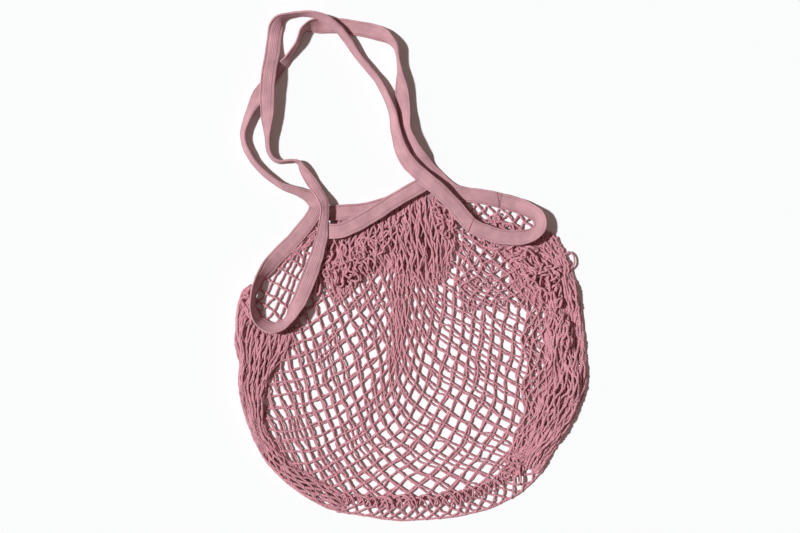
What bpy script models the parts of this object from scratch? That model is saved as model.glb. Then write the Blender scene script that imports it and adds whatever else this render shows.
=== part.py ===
"""Mesh tote bag, lying flat with its mouth and handles as they fell.

+Z is up from the surface, +Y runs from the bag's bottom to its handles.
The net is a front sheet and a back sheet that meet along the sides and the
bottom, with an open mouth between them.  Each side of the mouth is bound with
a short tape, and one endless tape binds the two side notches and makes both
handles.  Sizes are in millimetres until a mesh is made.
"""

import math
from collections import namedtuple

import bpy
from mathutils import Vector

MM = 0.001

# Driving dimensions, in millimetres.
WALL = 2.0              # thickness of a net layer's solid sheet
AIR = 0.3               # air between pieces that touch
SIDE_HEIGHT = 8.5       # middle of the front layer above the surface, in from the rim
CROWN = 3.0             # how much higher the middle of the front layer lies
CROWN_FULLNESS = 0.5    # a lower power gives a flatter crown with steeper sides
BOTTOM_FALL = 4         # a higher power keeps the crown up nearer to the bottom
TAPE_WIDTH = 19.0
TAPE_THICKNESS = 2.6
TAPE_STEP = 8.0         # spacing of the sections along a tape
OUTLINE_STEP = 3.0      # spacing of the points along a smooth outline
MESH_COLUMNS = 32       # half cells across a layer, an even number
MESH_ROWS = 20          # half cells from the mouth to the bottom, an even number
HOLE_SCALE = 0.72       # size of a cut gap beside its diamond cell

Point = namedtuple("Point", "x y")
Fold = namedtuple("Fold", "x y end_x end_y height width")
Station = namedtuple("Station", "x y base lean")
Patch = namedtuple("Patch", "left right top bottom")

# Middle of the front layer at the rim, where it lies on the back layer.
RIM_HEIGHT = WALL + AIR + WALL / 2

# Outline of the bag.  The two layers share the sides and the bottom, and each
# has its own edge at the mouth, from the left corner to the right one.
LEFT_SIDE = (
    Point(-212, -57), Point(-218, -74), Point(-217, -100), Point(-214, -136),
    Point(-208, -175), Point(-199, -208), Point(-185, -236),
)
RIGHT_SIDE = (
    Point(178, 30), Point(190, 4), Point(206, -31), Point(214, -88),
    Point(217, -140), Point(208, -176), Point(190, -214), Point(166, -260),
)
BOTTOM = (
    Point(-185, -236), Point(-160, -263), Point(-128, -287), Point(-84, -307),
    Point(-15, -317), Point(48, -316), Point(104, -303), Point(142, -281),
    Point(166, -260),
)
FRONT_EDGE = (
    Point(-212, -57), Point(-198, -80), Point(-172, -88), Point(-147, -77),
    Point(-131, -50), Point(-118, -20), Point(-106, 14), Point(-98, 36),
    Point(-74, 39), Point(-44, 54), Point(-14, 74), Point(15, 90),
    Point(42, 68), Point(70, 43), Point(101, 27), Point(131, 23),
    Point(156, 25), Point(178, 30),
)
BACK_EDGE = (
    Point(-212, -57), Point(-202, -43), Point(-191, -17), Point(-165, 8),
    Point(-141, 34), Point(-122, 58), Point(-84, 60), Point(-52, 64),
    Point(-15, 76), Point(22, 86), Point(60, 86), Point(100, 83),
    Point(138, 70), Point(157, 51), Point(178, 30),
)

# Soft folds of the front layer, each a ridge along a line.
FRONT_FOLDS = (
    Fold(-92, 20, 30, 30, 5.0, 11),         # slack net rolled under the mouth tape
    Fold(-80, -28, 8, 8, 3.5, 12),          # lower edge of that roll
    Fold(-30, 10, 20, -110, 2.5, 12),       # gathers down the middle
    Fold(-178, -96, -205, -170, 4.5, 12),   # strands bunched below the left notch
    Fold(-205, -170, -172, -240, 3.0, 12),  # the bunch, on down the left side
    Fold(122, 0, 178, -40, 5.0, 12),        # crumpled net below the right notch
    Fold(198, -60, 180, -200, 3.5, 14),     # fold along the right side
    Fold(-84, -291, 60, -296, 3.0, 8),      # bottom seam, rolled to the front
    Fold(60, -296, 150, -250, 3.0, 8),      # bottom seam, on to the right
)

# Where each layer is flat and open enough for its gaps to be cut, as parts of
# the way across (left, right) and of the way from the mouth down (top, bottom).
OPEN_PATCHES = {
    "front": (
        Patch(0.17, 0.46, 0.44, 0.93),
        Patch(0.46, 0.80, 0.36, 0.93),
        Patch(0.80, 0.88, 0.62, 0.93),
    ),
    "back": (
        Patch(0.06, 0.26, 0.04, 0.26),
        Patch(0.17, 0.46, 0.44, 0.93),
        Patch(0.46, 0.80, 0.36, 0.93),
        Patch(0.80, 0.88, 0.62, 0.93),
    ),
}

# The tapes.  Each station gives a point of the middle line, the height of the
# tape's lower edge, and how far the tape leans from flat.  A positive lean
# lifts the edge on the right-hand side of the way that the tape runs.
MOUTH_TAPE_FRONT = (
    Station(-98, 42, 13.5, 0),
    Station(-80, 45, 14.5, 0),
    Station(-52, 60, 14.0, 0),
    Station(-15, 81, 13.5, 0),
    Station(9, 97, 12.5, 0),
)
MOUTH_TAPE_BACK = (
    Station(-108, 65, 2.3, 0),
    Station(-84, 66, 2.3, 0),
    Station(-52, 70, 2.3, 0),
    Station(-15, 82, 2.3, 0),
    Station(26, 92, 2.3, 0),
)
RIGHT_NOTCH_BACK = (
    Station(108, 81, 2.3, 0),
    Station(88, 85, 2.3, 0),
    Station(66, 88, 2.3, 0),
    Station(49, 93, 2.3, 0),
)
BACK_HANDLE = (
    Station(31, 109, 0.0, 0),
    Station(16, 125, 0.0, 10),
    Station(5, 143, 0.0, 45),
    Station(-2, 166, 0.0, 60),
    Station(-6, 194, 0.0, 20),
    Station(-10, 222, 0.0, 30),
    Station(-16, 250, 0.0, 85),
    Station(-23, 275, 0.0, 75),
    Station(-42, 289, 0.0, 15),
    Station(-78, 297, 0.0, 0),
    Station(-112, 299, 0.0, 5),
    Station(-134, 296, 0.0, 70),
    Station(-146, 281, 0.0, 75),
    Station(-157, 262, 0.0, 35),
    Station(-174, 240, 0.0, 15),
    Station(-190, 214, 0.0, 35),
    Station(-204, 190, 0.0, 70),
    Station(-211, 165, 0.0, 80),
    Station(-206, 142, 0.0, 80),
    Station(-190, 118, 0.0, 80),
    Station(-166, 100, 0.0, 75),
    Station(-142, 91, 0.0, 60),
    Station(-126, 84, 0.6, 35),
)
LEFT_NOTCH = (
    Station(-120, 71, 2.3, 10),
    Station(-131, 52, 2.3, 0),
    Station(-150, 29, 2.3, 0),
    Station(-172, 7, 2.3, 10),
    Station(-192, -20, 2.3, 60),
    Station(-199, -46, 2.3, 75),
    Station(-194, -66, 2.6, 60),
    Station(-178, -77, 3.5, 50),
    Station(-161, -73, 7.0, 45),
    Station(-148, -58, 10.5, 30),
    Station(-137, -36, 12.0, 15),
    Station(-124, -2, 12.5, 0),
    Station(-114, 28, 13.0, 0),
)
FRONT_HANDLE = (
    Station(-112, 52, 13.0, 0),
    Station(-114, 74, 10.0, -15),
    Station(-122, 96, 4.0, -45),
    Station(-134, 117, 1.0, -65),
    Station(-149, 128, 0.0, -85),
    Station(-168, 129, 0.0, -85),
    Station(-179, 139, 0.0, -80),
    Station(-181, 160, 1.0, -70),
    Station(-181, 186, 9.0, -20),
    Station(-181, 214, 14.5, 0),
    Station(-178, 245, 15.0, 0),
    Station(-174, 274, 14.0, 0),
    Station(-170, 297, 5.0, 15),
    Station(-160, 310, 0.0, 60),
    Station(-142, 315, 0.0, 80),
    Station(-120, 313, 4.5, 65),
    Station(-100, 303, 4.5, 55),
    Station(-84, 285, 3.5, 60),
    Station(-66, 259, 0.0, 65),
    Station(-46, 233, 0.0, 65),
    Station(-32, 207, 0.0, 55),
    Station(-24, 178, 0.0, 50),
    Station(-16, 150, 2.0, 40),
    Station(-5, 129, 6.0, 20),
    Station(10, 112, 11.5, 0),
    Station(27, 98, 16.0, 0),
)
RIGHT_NOTCH_FRONT = (
    Station(41, 85, 15.0, 0),
    Station(55, 70, 14.0, 0),
    Station(68, 54, 13.0, 0),
    Station(88, 43, 13.0, 0),
    Station(111, 35, 13.0, 0),
    Station(132, 34, 13.0, 10),
    Station(151, 38, 9.0, 40),
    Station(162, 48, 6.0, 50),
    Station(159, 60, 4.0, 45),
    Station(146, 68, 2.3, 20),
    Station(128, 75, 2.3, 0),
    Station(109, 80.8, 2.3, 0),
)
HANDLE_TAPE = (
    RIGHT_NOTCH_BACK + BACK_HANDLE + LEFT_NOTCH + FRONT_HANDLE + RIGHT_NOTCH_FRONT
)


def clear_scene():
    """Remove every object, so that the script can be run again."""
    for old in list(bpy.data.objects):
        bpy.data.objects.remove(old, do_unlink=True)


def fabric(name, color, roughness):
    """A plain cloth material."""
    material = bpy.data.materials.new(name)
    material.use_nodes = True
    shader = material.node_tree.nodes["Principled BSDF"]
    shader.inputs["Base Color"].default_value = (*color, 1.0)
    shader.inputs["Roughness"].default_value = roughness
    shader.inputs["Metallic"].default_value = 0.0
    return material


def blend(a, b, c, d, t):
    """The smooth curve through b and c, t of the way between them."""
    return 0.5 * (
        2 * b
        + (c - a) * t
        + (2 * a - 5 * b + 4 * c - d) * t * t
        + (3 * b - a - 3 * c + d) * t ** 3
    )


def smooth_rows(rows, spacing):
    """Rows of numbers blended to about the given spacing in x and y."""
    result = []
    for k in range(len(rows) - 1):
        before = rows[max(k - 1, 0)]
        after = rows[min(k + 2, len(rows) - 1)]
        reach = math.dist(rows[k][:2], rows[k + 1][:2])
        count = max(1, round(reach / spacing))
        for step in range(count):
            t = step / count
            result.append([
                blend(*values, t)
                for values in zip(before, rows[k], rows[k + 1], after)
            ])
    result.append(list(rows[-1]))
    return result


def along(curve, part):
    """The point at a part (0 to 1) of a polyline's length."""
    lengths = [math.dist(p, q) for p, q in zip(curve, curve[1:])]
    wanted = part * sum(lengths)
    for k, length in enumerate(lengths):
        if wanted <= length or k == len(lengths) - 1:
            t = min(wanted / length, 1.0)
            return Vector(curve[k]).lerp(Vector(curve[k + 1]), t)
        wanted -= length


def edge_curve(points):
    """A fine smooth polyline through an outline's points."""
    return smooth_rows(points, OUTLINE_STEP)


def layer_point(mouth_edge, u, v):
    """A point in plan, u of the way across and v of the way down a layer."""
    top = along(mouth_edge, u)
    low = along(BOTTOM_CURVE, u)
    left = along(LEFT_CURVE, v)
    right = along(RIGHT_CURVE, v)
    corners = (
        Vector(mouth_edge[0]) * (1 - u) * (1 - v)
        + Vector(mouth_edge[-1]) * u * (1 - v)
        + Vector(BOTTOM_CURVE[0]) * (1 - u) * v
        + Vector(BOTTOM_CURVE[-1]) * u * v
    )
    return top * (1 - v) + low * v + left * (1 - u) + right * u - corners


def ridge(fold, point):
    """Height that one fold adds at a point."""
    start = Vector((fold.x, fold.y))
    run = Vector((fold.end_x, fold.end_y)) - start
    t = max(0.0, min(1.0, (point - start).dot(run) / run.length_squared))
    distance = (point - start - run * t).length
    return fold.height * math.exp(-((distance / fold.width) ** 2))


def front_height(point, u, v):
    """Height of the front layer's middle: its rim, or its crown and folds."""
    if on_rim(round(u * MESH_COLUMNS), round(v * MESH_ROWS)):
        return RIM_HEIGHT
    crown = CROWN * math.sin(math.pi * u) ** CROWN_FULLNESS * (1 - v ** BOTTOM_FALL)
    return SIDE_HEIGHT + crown + sum(ridge(fold, point) for fold in FRONT_FOLDS)


def on_rim(i, j):
    """Whether a corner lies where the layers meet, at a side or the bottom."""
    return i in (0, MESH_COLUMNS) or j == MESH_ROWS


def is_open(layer, u, v):
    """Whether the cell at u, v is cut through."""
    return any(
        patch.left < u < patch.right and patch.top < v < patch.bottom
        for patch in OPEN_PATCHES[layer]
    )


LEFT_CURVE = edge_curve(LEFT_SIDE)
RIGHT_CURVE = edge_curve(RIGHT_SIDE)
BOTTOM_CURVE = edge_curve(BOTTOM)
MOUTH_CURVES = {"front": edge_curve(FRONT_EDGE), "back": edge_curve(BACK_EDGE)}


def layer_vertices(layer):
    """Corner positions of a layer's diamonds, keyed by column and row."""
    corners = {}
    for i in range(MESH_COLUMNS + 1):
        for j in range(i % 2, MESH_ROWS + 1, 2):
            u = i / MESH_COLUMNS
            v = j / MESH_ROWS
            plan = layer_point(MOUTH_CURVES[layer], u, v)
            height = WALL / 2
            if layer == "front":
                height = front_height(plan, u, v)
            corners[i, j] = Vector((plan.x, plan.y, height))
    return corners


def diamond(i, j):
    """Corners of the cell around i, j that lie inside the layer, in order."""
    around = [(i - 1, j), (i, j + 1), (i + 1, j), (i, j - 1)]
    return [
        (a, b) for a, b in around
        if 0 <= a <= MESH_COLUMNS and 0 <= b <= MESH_ROWS
    ]


def add_cell(corners, is_cut, vertices, faces):
    """Add one diamond, whole or as a frame around its gap."""
    if not is_cut:
        faces.append(corners)
        return
    middle = sum((vertices[k] for k in corners), Vector()) / len(corners)
    inner = []
    for k in corners:
        inner.append(len(vertices))
        vertices.append(middle.lerp(vertices[k], HOLE_SCALE))
    for a in range(4):
        b = (a + 1) % 4
        faces.append([corners[a], corners[b], inner[b], inner[a]])


def layer_faces(layer):
    """The middle surface of a layer: its corners and its cells."""
    vertices = []
    faces = []
    index = {}
    for key, place in layer_vertices(layer).items():
        index[key] = len(vertices)
        vertices.append(place)
    for i in range(MESH_COLUMNS + 1):
        for j in range((i + 1) % 2, MESH_ROWS + 1, 2):
            corners = [index[key] for key in diamond(i, j)]
            is_whole = len(corners) == 4
            is_cut = is_whole and is_open(layer, i / MESH_COLUMNS, j / MESH_ROWS)
            add_cell(corners, is_cut, vertices, faces)
    return vertices, faces


def mesh_object(name, vertices, faces, material):
    """An object from vertices in millimetres."""
    mesh = bpy.data.meshes.new(name)
    mesh.from_pydata([v * MM for v in vertices], [], faces)
    mesh.materials.append(material)
    mesh.validate()
    thing = bpy.data.objects.new(name, mesh)
    bpy.context.scene.collection.objects.link(thing)
    return thing


def shell_faces(faces, count):
    """Faces of both skins, and of the edges left open between them."""
    lower = [[k + count for k in reversed(face)] for face in faces]
    directed = {
        (face[k - 1], face[k]) for face in faces for k in range(len(face))
    }
    edges = [
        [b, a, a + count, b + count]
        for a, b in sorted(directed) if (b, a) not in directed
    ]
    return faces + lower + edges


def make_net_layer(name, layer, material):
    """One layer of net: a sheet of diamonds with its gaps cut through."""
    middle, faces = layer_faces(layer)
    half_wall = Vector((0, 0, WALL / 2))
    upper = [place + half_wall for place in middle]
    lower = [place - half_wall for place in middle]
    return mesh_object(name, upper + lower, shell_faces(faces, len(middle)), material)


def tape_sections(stations):
    """The four corners of the tape's section at each step along its run."""
    rows = smooth_rows(stations, TAPE_STEP)
    centres = []
    for x, y, base, lean in rows:
        base = max(base, 0.0)
        angle = math.radians(lean)
        rise = abs(math.sin(angle)) * TAPE_WIDTH / 2
        rise += abs(math.cos(angle)) * TAPE_THICKNESS / 2
        centres.append(Vector((x, y, base + rise)))
    sections = []
    for k, centre in enumerate(centres):
        ahead = centres[min(k + 1, len(centres) - 1)]
        behind = centres[max(k - 1, 0)]
        along_run = (ahead - behind).normalized()
        right = along_run.cross(Vector((0, 0, 1))).normalized()
        angle = math.radians(rows[k][3])
        across = right * math.cos(angle) + Vector((0, 0, 1)) * math.sin(angle)
        through = across.cross(Vector((along_run.x, along_run.y, 0)).normalized())
        half_width = across * TAPE_WIDTH / 2
        half_depth = through * TAPE_THICKNESS / 2
        sections.append([
            centre - half_width - half_depth,
            centre + half_width - half_depth,
            centre + half_width + half_depth,
            centre - half_width + half_depth,
        ])
    return sections


def make_tape(name, stations, material):
    """A flat tape swept along its stations, closed at both ends."""
    sections = tape_sections(stations)
    vertices = [corner for section in sections for corner in section]
    faces = [[0, 1, 2, 3]]
    for k in range(len(sections) - 1):
        first = 4 * k
        for a in range(4):
            b = (a + 1) % 4
            faces.append([first + b, first + a, first + 4 + a, first + 4 + b])
    last = 4 * (len(sections) - 1)
    faces.append([last + 3, last + 2, last + 1, last])
    return mesh_object(name, vertices, faces, material)


def centre_on_origin(things):
    """Put the origin under the middle of the whole bag, on the surface."""
    bpy.context.view_layer.update()
    corners = [
        thing.matrix_world @ Vector(corner)
        for thing in things for corner in thing.bound_box
    ]
    shift_x = (min(c.x for c in corners) + max(c.x for c in corners)) / 2
    shift_y = (min(c.y for c in corners) + max(c.y for c in corners)) / 2
    for thing in things:
        thing.location.x -= shift_x
        thing.location.y -= shift_y


def main():
    clear_scene()
    yarn = fabric("net_yarn", (0.62, 0.32, 0.37), 0.9)
    tape = fabric("cotton_tape", (0.66, 0.37, 0.41), 0.85)
    centre_on_origin([
        make_net_layer("net_front", "front", yarn),
        make_net_layer("net_back", "back", yarn),
        make_tape("mouth_tape_front", MOUTH_TAPE_FRONT, tape),
        make_tape("mouth_tape_back", MOUTH_TAPE_BACK, tape),
        make_tape("handle_tape", HANDLE_TAPE, tape),
    ])


main()
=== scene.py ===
"""Pink mesh tote bag lying flat: its knotted net, bound mouth and tape handles.

The net is drawn as yarn: diamonds of two crossing families of strands, laid out
along guides in its body and between four edges in the patches heaped on it.
Tangles and the bottom seam are single curling strands.  The tapes are swept
along stations of their middle line, near those of the bag's solids.  Tables are
in millimetres, +X to the right, +Y towards the handles, +Z up.
"""

import math
from collections import namedtuple

import bpy
import numpy as np
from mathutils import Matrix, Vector, noise


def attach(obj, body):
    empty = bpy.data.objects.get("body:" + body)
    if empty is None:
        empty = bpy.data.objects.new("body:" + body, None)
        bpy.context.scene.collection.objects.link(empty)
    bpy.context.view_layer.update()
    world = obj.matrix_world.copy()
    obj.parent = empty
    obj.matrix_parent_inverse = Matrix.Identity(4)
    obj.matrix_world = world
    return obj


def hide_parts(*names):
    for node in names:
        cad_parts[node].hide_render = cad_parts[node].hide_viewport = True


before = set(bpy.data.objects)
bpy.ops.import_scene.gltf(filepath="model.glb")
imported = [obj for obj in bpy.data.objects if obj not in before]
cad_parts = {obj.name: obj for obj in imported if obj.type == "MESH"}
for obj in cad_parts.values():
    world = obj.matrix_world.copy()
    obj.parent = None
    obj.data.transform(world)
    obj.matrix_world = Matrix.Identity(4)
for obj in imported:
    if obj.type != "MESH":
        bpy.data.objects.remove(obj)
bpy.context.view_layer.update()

# The noise starts from the same place on every run.
noise.seed_set(5)

MM = 0.001

# Yarn and knots.
YARN_RADIUS = 1.22
YARN_SIDES = 6
KNOT_RADIUS = 1.75
KNOT_STRETCH = 1.45
STEPS_PER_LEG = 4
PLY_LENGTH = 2.6
FLOOR_GAP = 0.1
# The body's strands are looser towards the mouth: by this share at most, from
# this y on and growing over this distance.
LOOSER_ABOVE = 0.8
LOOSER_FROM = -130
LOOSER_OVER = 120
# Bunched yarn is slack, and thicker than stretched yarn by this factor.
BUNCH_YARN = 1.15

# Tape.
TAPE_WIDTH = 19.0
TAPE_THICKNESS = 3.0
TAPE_STEP = 3.0
RIB_SPACING = 2.2
COURSE_SPACING = 1.3
STITCH_INSET = 2.6
STITCH_SPACING = 3.4
STITCH_LENGTH = 2.3
STITCH_RADIUS = 0.38
TAPE_FLOOR = 0.05
# Scale, reach and seed of the cloth's broad waves and of its fine ones.
CLOTH_WAVES = (16.0, 0.8, 200)
CLOTH_RIPPLES = (6.0, 0.22, 210)

# Colours, as linear values.
YARN_PINK = (0.60, 0.27, 0.315)
TAPE_PINK = (0.60, 0.315, 0.35)
STITCH_PINK = (0.40, 0.14, 0.17)
FLOOR_WHITE = (0.90, 0.90, 0.90)

# Light and camera.
SUN_STRENGTH = 4.0
SUN_COLOR = (0.93, 0.985, 1.0)
SUN_WIDTH = 4.0
SUN_ELEVATION = 49.5
SUN_HEADING = (0.989, -0.148)
FILL_COLOR = (1.0, 0.74, 0.66, 1.0)
FILL_STRENGTH = 0.17
CAMERA_PLACE = (-0.0156, -0.0019, 2.361)
FLOOR_REACH = 3.0

Patch = namedtuple(
    "Patch",
    "name top bottom left right columns rows layers low crown pile wander slack seed")
Guide = namedtuple("Guide", "column row_0 row_3 row_6 row_9 row_12 row_15")
Layer = namedtuple("Layer", "name shift low pile wander slack seed")
Tangle = namedtuple("Tangle", "name x y length width turn low high curl strands seed")
Station = namedtuple("Station", "x y base lean width", defaults=(1.0,))


class Edge:
    """A smooth curve through points in plan, read by its share from 0 to 1."""

    def __init__(self, points):
        self.points = np.array(points, float)
        steps = np.linalg.norm(np.diff(self.points, axis=0), axis=1)
        self.shares = np.concatenate([[0.0], np.cumsum(steps) / steps.sum()])

    def at(self, share):
        """Points of the curve at an array of shares."""
        share = np.clip(np.asarray(share, float), 0.0, 1.0)
        last = len(self.points) - 1
        k = np.clip(np.searchsorted(self.shares, share, side="right") - 1, 0, last - 1)
        t = (share - self.shares[k]) / (self.shares[k + 1] - self.shares[k])
        before = self.points[np.maximum(k - 1, 0)]
        after = self.points[np.minimum(k + 2, last)]
        return blend(before, self.points[k], self.points[k + 1], after, t[:, None])

    def length(self):
        """The curve's length, by short straight steps."""
        steps = np.diff(self.at(np.linspace(0, 1, 60)), axis=0)
        return np.linalg.norm(steps, axis=1).sum()


def blend(a, b, c, d, t):
    """The smooth curve through b and c, t of the way between them."""
    return 0.5 * (
        2 * b + (c - a) * t + (2 * a - 5 * b + 4 * c - d) * t ** 2
        + (3 * b - a - 3 * c + d) * t ** 3
    )


# The body of the net.  Each guide follows one column of its diamonds down the
# bag, with a point at every third row.  The strands hang closed in a bundle
# under the mouth and spread below it.
GUIDES = tuple(Guide(*row) for row in (
    (-14, (-146, 94), (-161, 19), (-176, -46), (-196, -89), (-216, -136), (-233, -181)),
    (-12, (-129, 85), (-143, 10), (-158, -58), (-181, -104), (-201, -151), (-218, -194)),
    (-10, (-113, 79), (-127, 4), (-142, -66), (-164, -120), (-186, -165), (-203, -209)),
    (-8, (-86, 74), (-97, -9), (-112, -81), (-134, -142), (-154, -191), (-172, -234)),
    (-6, (-53, 71), (-66, -19), (-81, -91), (-103, -160), (-122, -215), (-137, -261)),
    (-3, (-22, 81), (-27, -11), (-32, -98), (-56, -174), (-74, -232), (-82, -284)),
    (0, (-7, 88), (-11, -6), (-13, -95), (-14, -180), (-16, -240), (-17, -292)),
    (3, (-1, 89), (4, 0), (18, -89), (42, -160), (56, -228), (61, -286)),
    (5, (3, 86), (19, -6), (47, -81), (77, -149), (97, -212), (108, -269)),
    (6.4, (9, 81), (34, 4), (67, -69), (97, -138), (126, -205), (147, -256)),
    (9.3, (47, 86), (79, 20), (109, -48), (139, -115), (166, -180), (182, -229)),
    (12, (89, 106), (119, 41), (149, -26), (176, -94), (197, -154), (212, -200)),
    (14, (122, 121), (152, 55), (179, -11), (202, -76), (219, -139), (234, -188)),
))
GUIDE_ROWS = (0, 3, 6, 9, 12, 15)

# Where the body of the net ends: at the tapes of the mouth and the notches, and
# at the folds along the sides and the bottom.
RIM = (
    (197, -9), (207, -44), (213, -94), (216, -150), (208, -169), (193, -194),
    (182, -219), (157, -250), (132, -262), (103, -280), (78, -290), (34, -298),
    (-16, -299), (-66, -296), (-116, -288), (-141, -276), (-178, -245), (-203, -202),
    (-212, -169), (-217, -131), (-218, -94), (-218, -60), (-211, -39), (-202, -31),
    (-196, -71), (-178, -80), (-157, -69), (-144, -48), (-134, -25),
)
RIGHT_OF_MOUTH = (
    (53, 72), (68, 54), (82, 45), (109, 35), (134, 34), (154, 41), (166, 46), (176, 31),
)
FRONT_MOUTH = (
    (-122, 4), (-113, 36), (-96, 42), (-63, 54), (-36, 75), (2, 96), (22, 99),
) + RIGHT_OF_MOUTH
BACK_MOUTH = (
    (-126, 4), (-118, 36), (-113, 68), (-84, 68), (-53, 76), (-36, 81), (2, 99), (22, 101),
) + RIGHT_OF_MOUTH

# The two layers.  shift is how far a layer's strands lie from the guides, in
# columns, at the bag's left and right.  low is the yarn's height, pile how
# unevenly it is heaped, wander how far the knots stray in plan and slack how
# much each strand curls between them.
BACK = Layer("net_back_yarn", (-0.1, -0.12), 1.4, 0.15, 2.2, 1.4, 3)
FRONT = Layer("net_front_yarn", (0, 0), 3.0, 0.35, 1.8, 1.5, 8)


def new_patch(name, top, bottom, left, right, numbers):
    """A patch between four edges, given by their points."""
    return Patch("net_" + name, Edge(top), Edge(bottom), Edge(left), Edge(right), *numbers)


# Stretches of net heaped on the body or seen past it, each a patch between
# four edges.  Its numbers are those of Patch, in order.  columns and rows count
# its diamonds, and layers how many such nets lie on each other there.  low is the
# yarn's height at the patch's edges and crown the extra height of its middle.
LEFT_WINDOW = new_patch(
    name="left_window",
    top=[
        (-196, -16), (-186, -6), (-168, 6), (-150, 24), (-134, 45), (-118, 68),
    ],
    bottom=[(-196, -74), (-180, -84), (-160, -78), (-146, -60), (-122, -34)],
    left=[(-196, -16), (-199, -46), (-196, -74)],
    right=[(-118, 68), (-114, 20), (-122, -34)],
    numbers=(6, 5, 1, 1.6, 1.0, 0.2, 2.0, 1.6, 12),
)
RIGHT_WINDOW = new_patch(
    name="right_window",
    top=[(62, 81), (84, 82), (109, 78), (134, 70), (154, 59), (159, 49)],
    bottom=[(67, 41), (89, 24), (114, 19), (137, 19), (157, 22), (167, 29)],
    left=[(62, 81), (64, 61), (67, 41)],
    right=[(159, 49), (167, 39), (167, 29)],
    numbers=(8, 4, 1, 1.8, 1.5, 1.0, 3.6, 2.6, 14),
)
LEFT_BUNCH = new_patch(
    name="left_bunch",
    top=[
        (-203, -26), (-204, -44), (-202, -62), (-193, -80), (-178, -87),
        (-159, -85), (-147, -78),
    ],
    bottom=[(-188, -235), (-182, -232), (-176, -229)],
    left=[
        (-203, -26), (-212, -34), (-217, -50), (-219, -74), (-216, -100),
        (-213, -131), (-211, -169), (-201, -206), (-188, -235),
    ],
    right=[
        (-147, -78), (-152, -100), (-165, -121), (-180, -139), (-187, -169),
        (-185, -200), (-176, -229),
    ],
    numbers=(13, 4, 3, 2.8, 8.5, 3.2, 2.8, 2.0, 21),
)
LEFT_RIM = new_patch(
    name="left_rim",
    top=[(-210, -170), (-200, -170), (-190, -172)],
    bottom=[(-91, -308), (-84, -300), (-78, -290)],
    left=[
        (-210, -170), (-202, -200), (-188, -235), (-178, -250), (-159, -269), (-141, -283),
        (-116, -298), (-91, -308),
    ],
    right=[
        (-190, -172), (-184, -196), (-172, -226), (-157, -242), (-138, -257), (-116, -271),
        (-96, -281), (-78, -290),
    ],
    numbers=(4, 8, 2, 2.2, 5.0, 2.0, 1.8, 1.2, 34),
)
BOTTOM_FOLD = new_patch(
    name="bottom_fold",
    top=[(-93, -308), (-85, -300), (-78, -291)],
    bottom=[(159, -260), (146, -252), (134, -243)],
    left=[
        (-93, -308), (-53, -314), (-16, -318), (34, -316), (78, -308), (103, -300),
        (134, -284), (159, -260),
    ],
    right=[
        (-78, -291), (-44, -295), (-16, -294), (22, -292), (59, -285), (91, -276),
        (116, -260), (134, -243),
    ],
    numbers=(2, 17, 1, 1.6, 2.2, 0.8, 2.0, 1.6, 40),
)
RIGHT_RIM = new_patch(
    name="right_rim",
    top=[(186, 12), (178, 6), (168, 2)],
    bottom=[(159, -260), (146, -252), (134, -243)],
    left=[
        (186, 12), (198, -9), (208, -44), (213, -94), (216, -119), (216, -150),
        (211, -166), (203, -181), (193, -204), (182, -221), (174, -233), (159, -260),
    ],
    right=[
        (168, 2), (168, -31), (168, -62), (166, -100), (166, -138), (158, -169),
        (150, -200), (142, -225), (134, -243),
    ],
    numbers=(8, 9, 3, 2.4, 10.5, 3.2, 3.6, 2.2, 55),
)
RIGHT_VEIL = new_patch(
    name="right_veil",
    top=[(176, -36), (158, -30), (138, -34)],
    bottom=[(140, -246), (132, -240), (122, -232)],
    left=[
        (176, -36), (176, -62), (174, -100), (174, -138), (166, -169), (158, -200),
        (150, -225), (140, -246),
    ],
    right=[
        (138, -34), (144, -62), (135, -90), (145, -124), (136, -152), (139, -182),
        (127, -210), (122, -232),
    ],
    numbers=(4, 10, 1, 4.2, 1.5, 0.6, 2.2, 1.5, 59),
)
UPPER_VEIL = new_patch(
    name="upper_veil",
    top=[(60, 40), (92, 30), (132, 18)],
    bottom=[(68, -58), (100, -50), (140, -52)],
    left=[(60, 40), (62, 4), (54, -28), (68, -58)],
    right=[(132, 18), (140, -12), (140, -52)],
    numbers=(5, 5, 1, 4.2, 1.5, 0.6, 3.0, 1.5, 62),
)
CRUMPLE = new_patch(
    name="crumple",
    top=[(112, 27), (134, 29), (153, 36), (168, 41), (181, 31)],
    bottom=[(126, -30), (146, -44), (163, -46), (185, -44), (205, -31)],
    left=[(112, 27), (120, 2), (126, -30)],
    right=[(181, 31), (193, 6), (205, -31)],
    numbers=(9, 4, 2, 2.4, 2.5, 1.4, 4.0, 2.6, 68),
)
MOUTH_ROLL = new_patch(
    name="mouth_roll",
    top=[
        (-102, 36), (-78, 40), (-56, 51), (-28, 69), (-3, 84), (17, 92),
        (34, 79), (52, 58),
    ],
    bottom=[
        (-96, -46), (-72, -24), (-48, -8), (-26, -6), (4, -18), (28, -24),
        (44, -8), (52, 14),
    ],
    left=[(-102, 36), (-108, -4), (-96, -46)],
    right=[(52, 58), (54, 36), (52, 14)],
    numbers=(22, 3, 2, 3.0, 6.5, 3.0, 3.2, 2.0, 77),
)
PATCHES = (
    LEFT_WINDOW, RIGHT_WINDOW, LEFT_BUNCH, LEFT_RIM, BOTTOM_FOLD, RIGHT_RIM,
    RIGHT_VEIL, UPPER_VEIL, CRUMPLE, MOUTH_ROLL,
)
FOLDED_PATCHES = (LEFT_BUNCH, LEFT_RIM, BOTTOM_FOLD, RIGHT_RIM)

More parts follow.
